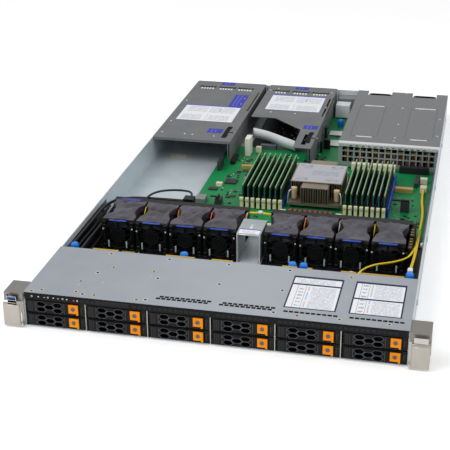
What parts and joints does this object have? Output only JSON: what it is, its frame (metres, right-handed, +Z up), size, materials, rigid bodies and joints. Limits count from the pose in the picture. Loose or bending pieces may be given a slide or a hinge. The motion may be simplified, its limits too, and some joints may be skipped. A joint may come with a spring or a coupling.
{
  "type": "1u rack server",
  "caption": "Low, wide rack server with its rear lid off: honeycomb-fronted drive carriers, a row of fans, memory banks, a finned cooler, riser brackets and slide-out power supplies.",
  "frame": {"origin": "middle of the underside of the pan", "axes": "X to the right seen from the front, +Y to the rear, +Z up"},
  "size_m": [0.4826, 0.838, 0.043],
  "materials": {
    "chassis": "plain zinc-plated sheet",
    "lid": "brushed sheet",
    "frame": "nickel-plated ears and plain dividers",
    "board": "green solder mask",
    "module": "green solder mask",
    "heatsink": "bare fins",
    "fan": "dark grey moulding",
    "cable": "black jacket",
    "carrier": "dark carrier with its drive",
    "lever": "black moulding",
    "button": "orange moulding",
    "rotor": "black moulding",
    "supply": "sheet-metal case, solid here",
    "bracket": "grey plated sheet",
    "flap": "warm nickel plate",
    "latch": "cream moulding"
  },
  "bodies": {
    "base": {"chassis": "chassis", "front_cover": "lid", "front_frame": "frame", "circuit_boards": "board", "memory_modules": "module", "heatsink": "heatsink", "fan_modules": "fan", "cables": "cable"},
    "tray_lower_1": {"tray_lower_1": "carrier"},
    "lever_lower_1": {"lever_lower_1": "lever"},
    "button_lower_1": {"button_lower_1": "button"},
    "tray_lower_2": {"tray_lower_2": "carrier"},
    "lever_lower_2": {"lever_lower_2": "lever"},
    "button_lower_2": {"button_lower_2": "button"},
    "tray_lower_3": {"tray_lower_3": "carrier"},
    "lever_lower_3": {"lever_lower_3": "lever"},
    "button_lower_3": {"button_lower_3": "button"},
    "tray_lower_4": {"tray_lower_4": "carrier"},
    "lever_lower_4": {"lever_lower_4": "lever"},
    "button_lower_4": {"button_lower_4": "button"},
    "tray_lower_5": {"tray_lower_5": "carrier"},
    "lever_lower_5": {"lever_lower_5": "lever"},
    "button_lower_5": {"button_lower_5": "button"},
    "tray_lower_6": {"tray_lower_6": "carrier"},
    "lever_lower_6": {"lever_lower_6": "lever"},
    "button_lower_6": {"button_lower_6": "button"},
    "tray_upper_1": {"tray_upper_1": "carrier"},
    "lever_upper_1": {"lever_upper_1": "lever"},
    "button_upper_1": {"button_upper_1": "button"},
    "tray_upper_2": {"tray_upper_2": "carrier"},
    "lever_upper_2": {"lever_upper_2": "lever"},
    "button_upper_2": {"button_upper_2": "button"},
    "tray_upper_3": {"tray_upper_3": "carrier"},
    "lever_upper_3": {"lever_upper_3": "lever"},
    "button_upper_3": {"button_upper_3": "button"},
    "tray_upper_4": {"tray_upper_4": "carrier"},
    "lever_upper_4": {"lever_upper_4": "lever"},
    "button_upper_4": {"button_upper_4": "button"},
    "tray_upper_5": {"tray_upper_5": "carrier"},
    "lever_upper_5": {"lever_upper_5": "lever"},
    "button_upper_5": {"button_upper_5": "button"},
    "tray_upper_6": {"tray_upper_6": "carrier"},
    "lever_upper_6": {"lever_upper_6": "lever"},
    "button_upper_6": {"button_upper_6": "button"},
    "fan_rotor_1": {"fan_rotor_1": "rotor"},
    "fan_rotor_2": {"fan_rotor_2": "rotor"},
    "fan_rotor_3": {"fan_rotor_3": "rotor"},
    "fan_rotor_4": {"fan_rotor_4": "rotor"},
    "fan_rotor_5": {"fan_rotor_5": "rotor"},
    "fan_rotor_6": {"fan_rotor_6": "rotor"},
    "fan_rotor_7": {"fan_rotor_7": "rotor"},
    "fan_rotor_8": {"fan_rotor_8": "rotor"},
    "supply_left": {"supply_left": "supply"},
    "supply_right": {"supply_right": "supply"},
    "riser_left": {"riser_left": "bracket"},
    "riser_middle": {"riser_middle": "bracket"},
    "ear_flap_left": {"ear_flap_left": "flap"},
    "ear_flap_right": {"ear_flap_right": "flap"},
    "memory_latches_front": {"memory_latches_front": "latch"},
    "memory_latches_rear": {"memory_latches_rear": "latch"}
  },
  "joints": [
    {"name": "tray_lower_1_slide", "type": "slide", "parent": "base", "child": "tray_lower_1", "axis": [0, -1, 0], "range_m": [0, 0.12]},
    {"name": "lever_lower_1_hinge", "type": "hinge", "parent": "tray_lower_1", "child": "lever_lower_1", "pos_m": [-0.2121, -0.4126, 0.0094], "axis": [0, 0, -1], "range_deg": [0, 50]},
    {"name": "button_lower_1_press", "type": "slide", "parent": "lever_lower_1", "child": "button_lower_1", "axis": [0, 1, 0], "range_m": [0, 0.0015], "stiffness_N_per_m": 300},
    {"name": "tray_lower_2_slide", "type": "slide", "parent": "base", "child": "tray_lower_2", "axis": [0, -1, 0], "range_m": [0, 0.12]},
    {"name": "lever_lower_2_hinge", "type": "hinge", "parent": "tray_lower_2", "child": "lever_lower_2", "pos_m": [-0.1395, -0.4126, 0.0094], "axis": [0, 0, -1], "range_deg": [0, 50]},
    {"name": "button_lower_2_press", "type": "slide", "parent": "lever_lower_2", "child": "button_lower_2", "axis": [0, 1, 0], "range_m": [0, 0.0015], "stiffness_N_per_m": 300},
    {"name": "tray_lower_3_slide", "type": "slide", "parent": "base", "child": "tray_lower_3", "axis": [0, -1, 0], "range_m": [0, 0.12]},
    {"name": "lever_lower_3_hinge", "type": "hinge", "parent": "tray_lower_3", "child": "lever_lower_3", "pos_m": [-0.0669, -0.4126, 0.0094], "axis": [0, 0, -1], "range_deg": [0, 50]},
    {"name": "button_lower_3_press", "type": "slide", "parent": "lever_lower_3", "child": "button_lower_3", "axis": [0, 1, 0], "range_m": [0, 0.0015], "stiffness_N_per_m": 300},
    {"name": "tray_lower_4_slide", "type": "slide", "parent": "base", "child": "tray_lower_4", "axis": [0, -1, 0], "range_m": [0, 0.12]},
    {"name": "lever_lower_4_hinge", "type": "hinge", "parent": "tray_lower_4", "child": "lever_lower_4", "pos_m": [0.0057, -0.4126, 0.0094], "axis": [0, 0, -1], "range_deg": [0, 50]},
    {"name": "button_lower_4_press", "type": "slide", "parent": "lever_lower_4", "child": "button_lower_4", "axis": [0, 1, 0], "range_m": [0, 0.0015], "stiffness_N_per_m": 300},
    {"name": "tray_lower_5_slide", "type": "slide", "parent": "base", "child": "tray_lower_5", "axis": [0, -1, 0], "range_m": [0, 0.12]},
    {"name": "lever_lower_5_hinge", "type": "hinge", "parent": "tray_lower_5", "child": "lever_lower_5", "pos_m": [0.0783, -0.4126, 0.0094], "axis": [0, 0, -1], "range_deg": [0, 50]},
    {"name": "button_lower_5_press", "type": "slide", "parent": "lever_lower_5", "child": "button_lower_5", "axis": [0, 1, 0], "range_m": [0, 0.0015], "stiffness_N_per_m": 300},
    {"name": "tray_lower_6_slide", "type": "slide", "parent": "base", "child": "tray_lower_6", "axis": [0, -1, 0], "range_m": [0, 0.12]},
    {"name": "lever_lower_6_hinge", "type": "hinge", "parent": "tray_lower_6", "child": "lever_lower_6", "pos_m": [0.1509, -0.4126, 0.0094], "axis": [0, 0, -1], "range_deg": [0, 50]},
    {"name": "button_lower_6_press", "type": "slide", "parent": "lever_lower_6", "child": "button_lower_6", "axis": [0, 1, 0], "range_m": [0, 0.0015], "stiffness_N_per_m": 300},
    {"name": "tray_upper_1_slide", "type": "slide", "parent": "base", "child": "tray_upper_1", "axis": [0, -1, 0], "range_m": [0, 0.12]},
    {"name": "lever_upper_1_hinge", "type": "hinge", "parent": "tray_upper_1", "child": "lever_upper_1", "pos_m": [-0.2121, -0.4126, 0.0268], "axis": [0, 0, -1], "range_deg": [0, 50]},
    {"name": "button_upper_1_press", "type": "slide", "parent": "lever_upper_1", "child": "button_upper_1", "axis": [0, 1, 0], "range_m": [0, 0.0015], "stiffness_N_per_m": 300},
    {"name": "tray_upper_2_slide", "type": "slide", "parent": "base", "child": "tray_upper_2", "axis": [0, -1, 0], "range_m": [0, 0.12]},
    {"name": "lever_upper_2_hinge", "type": "hinge", "parent": "tray_upper_2", "child": "lever_upper_2", "pos_m": [-0.1395, -0.4126, 0.0268], "axis": [0, 0, -1], "range_deg": [0, 50]},
    {"name": "button_upper_2_press", "type": "slide", "parent": "lever_upper_2", "child": "button_upper_2", "axis": [0, 1, 0], "range_m": [0, 0.0015], "stiffness_N_per_m": 300},
    {"name": "tray_upper_3_slide", "type": "slide", "parent": "base", "child": "tray_upper_3", "axis": [0, -1, 0], "range_m": [0, 0.12]},
    {"name": "lever_upper_3_hinge", "type": "hinge", "parent": "tray_upper_3", "child": "lever_upper_3", "pos_m": [-0.0669, -0.4126, 0.0268], "axis": [0, 0, -1], "range_deg": [0, 50]},
    {"name": "button_upper_3_press", "type": "slide", "parent": "lever_upper_3", "child": "button_upper_3", "axis": [0, 1, 0], "range_m": [0, 0.0015], "stiffness_N_per_m": 300},
    {"name": "tray_upper_4_slide", "type": "slide", "parent": "base", "child": "tray_upper_4", "axis": [0, -1, 0], "range_m": [0, 0.12]},
    {"name": "lever_upper_4_hinge", "type": "hinge", "parent": "tray_upper_4", "child": "lever_upper_4", "pos_m": [0.0057, -0.4126, 0.0268], "axis": [0, 0, -1], "range_deg": [0, 50]},
    {"name": "button_upper_4_press", "type": "slide", "parent": "lever_upper_4", "child": "button_upper_4", "axis": [0, 1, 0], "range_m": [0, 0.0015], "stiffness_N_per_m": 300},
    {"name": "tray_upper_5_slide", "type": "slide", "parent": "base", "child": "tray_upper_5", "axis": [0, -1, 0], "range_m": [0, 0.12]},
    {"name": "lever_upper_5_hinge", "type": "hinge", "parent": "tray_upper_5", "child": "lever_upper_5", "pos_m": [0.0783, -0.4126, 0.0268], "axis": [0, 0, -1], "range_deg": [0, 50]},
    {"name": "button_upper_5_press", "type": "slide", "parent": "lever_upper_5", "child": "button_upper_5", "axis": [0, 1, 0], "range_m": [0, 0.0015], "stiffness_N_per_m": 300},
    {"name": "tray_upper_6_slide", "type": "slide", "parent": "base", "child": "tray_upper_6", "axis": [0, -1, 0], "range_m": [0, 0.12]},
    {"name": "lever_upper_6_hinge", "type": "hinge", "parent": "tray_upper_6", "child": "lever_upper_6", "pos_m": [0.1509, -0.4126, 0.0268], "axis": [0, 0, -1], "range_deg": [0, 50]},
    {"name": "button_upper_6_press", "type": "slide", "parent": "lever_upper_6", "child": "button_upper_6", "axis": [0, 1, 0], "range_m": [0, 0.0015], "stiffness_N_per_m": 300},
    {"name": "fan_rotor_1_spin", "type": "hinge", "parent": "base", "child": "fan_rotor_1", "pos_m": [-0.1749, -0.183, 0.0212], "axis": [0, 1, 0], "continuous": true},
    {"name": "fan_rotor_2_spin", "type": "hinge", "parent": "base", "child": "fan_rotor_2", "pos_m": [-0.1298, -0.183, 0.0212], "axis": [0, 1, 0], "continuous": true},
    {"name": "fan_rotor_3_spin", "type": "hinge", "parent": "base", "child": "fan_rotor_3", "pos_m": [-0.0847, -0.183, 0.0212], "axis": [0, 1, 0], "continuous": true},
    {"name": "fan_rotor_4_spin", "type": "hinge", "parent": "base", "child": "fan_rotor_4", "pos_m": [-0.0396, -0.183, 0.0212], "axis": [0, 1, 0], "continuous": true},
    {"name": "fan_rotor_5_spin", "type": "hinge", "parent": "base", "child": "fan_rotor_5", "pos_m": [0.0396, -0.183, 0.0212], "axis": [0, 1, 0], "continuous": true},
    {"name": "fan_rotor_6_spin", "type": "hinge", "parent": "base", "child": "fan_rotor_6", "pos_m": [0.0847, -0.183, 0.0212], "axis": [0, 1, 0], "continuous": true},
    {"name": "fan_rotor_7_spin", "type": "hinge", "parent": "base", "child": "fan_rotor_7", "pos_m": [0.1298, -0.183, 0.0212], "axis": [0, 1, 0], "continuous": true},
    {"name": "fan_rotor_8_spin", "type": "hinge", "parent": "base", "child": "fan_rotor_8", "pos_m": [0.1749, -0.183, 0.0212], "axis": [0, 1, 0], "continuous": true},
    {"name": "supply_left_slide", "type": "slide", "parent": "base", "child": "supply_left", "axis": [0, 1, 0], "range_m": [0, 0.2]},
    {"name": "supply_right_slide", "type": "slide", "parent": "base", "child": "supply_right", "axis": [0, 1, 0], "range_m": [0, 0.2]},
    {"name": "riser_left_lift", "type": "slide", "parent": "base", "child": "riser_left", "axis": [0, 0, 1], "range_m": [0, 0.045]},
    {"name": "riser_middle_lift", "type": "slide", "parent": "base", "child": "riser_middle", "axis": [0, 0, 1], "range_m": [0, 0.045]},
    {"name": "ear_flap_left_hinge", "type": "hinge", "parent": "base", "child": "ear_flap_left", "pos_m": [-0.23135, -0.4202, 0.0036], "axis": [1, 0, 0], "range_deg": [0, 85]},
    {"name": "ear_flap_right_hinge", "type": "hinge", "parent": "base", "child": "ear_flap_right", "pos_m": [0.23135, -0.4202, 0.0036], "axis": [1, 0, 0], "range_deg": [0, 85]},
    {"name": "memory_latches_front_hinge", "type": "hinge", "parent": "base", "child": "memory_latches_front", "pos_m": [0.0563, -0.045, 0.0092], "axis": [1, 0, 0], "range_deg": [0, 30]},
    {"name": "memory_latches_rear_hinge", "type": "hinge", "parent": "base", "child": "memory_latches_rear", "pos_m": [0.0563, 0.09875, 0.0092], "axis": [-1, 0, 0], "range_deg": [0, 30]}
  ]
}
